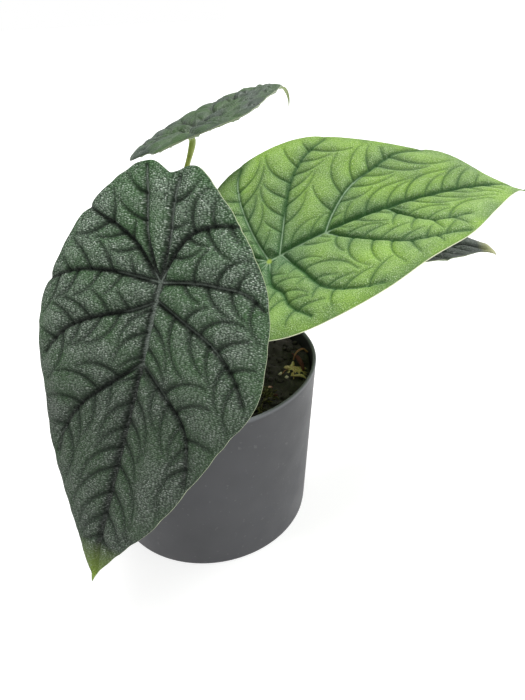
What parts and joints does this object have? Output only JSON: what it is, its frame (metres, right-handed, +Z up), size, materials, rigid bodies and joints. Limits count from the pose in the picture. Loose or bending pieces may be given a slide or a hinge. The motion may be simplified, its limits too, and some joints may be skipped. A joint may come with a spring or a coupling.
{
  "type": "potted alocasia plant",
  "caption": "Small potted foliage plant with thick quilted shield-shaped leaves on slender stems, rooted in dark soil in a plain round tapered pot.",
  "frame": {"origin": "middle of the pot's flat underside", "axes": "+Z up along the pot's axis; the picture was taken from the -Y side, and +X is to its right"},
  "size_m": [0.2452, 0.2423, 0.2225],
  "materials": {
    "pot": "matte",
    "soil": "matte",
    "corm": "matte",
    "stem": "satin",
    "leaf_front": "satin",
    "leaf_right": "satin",
    "leaf_back": "satin",
    "leaf_small": "satin"
  },
  "bodies": {
    "root": {"pot": "pot", "soil": "soil", "corm": "corm", "petiole_front": "stem", "petiole_right": "stem", "petiole_back": "stem", "petiole_small": "stem", "blade_front": "leaf_front", "blade_right": "leaf_right", "blade_back": "leaf_back", "blade_small": "leaf_small"}
  },
  "joints": []
}
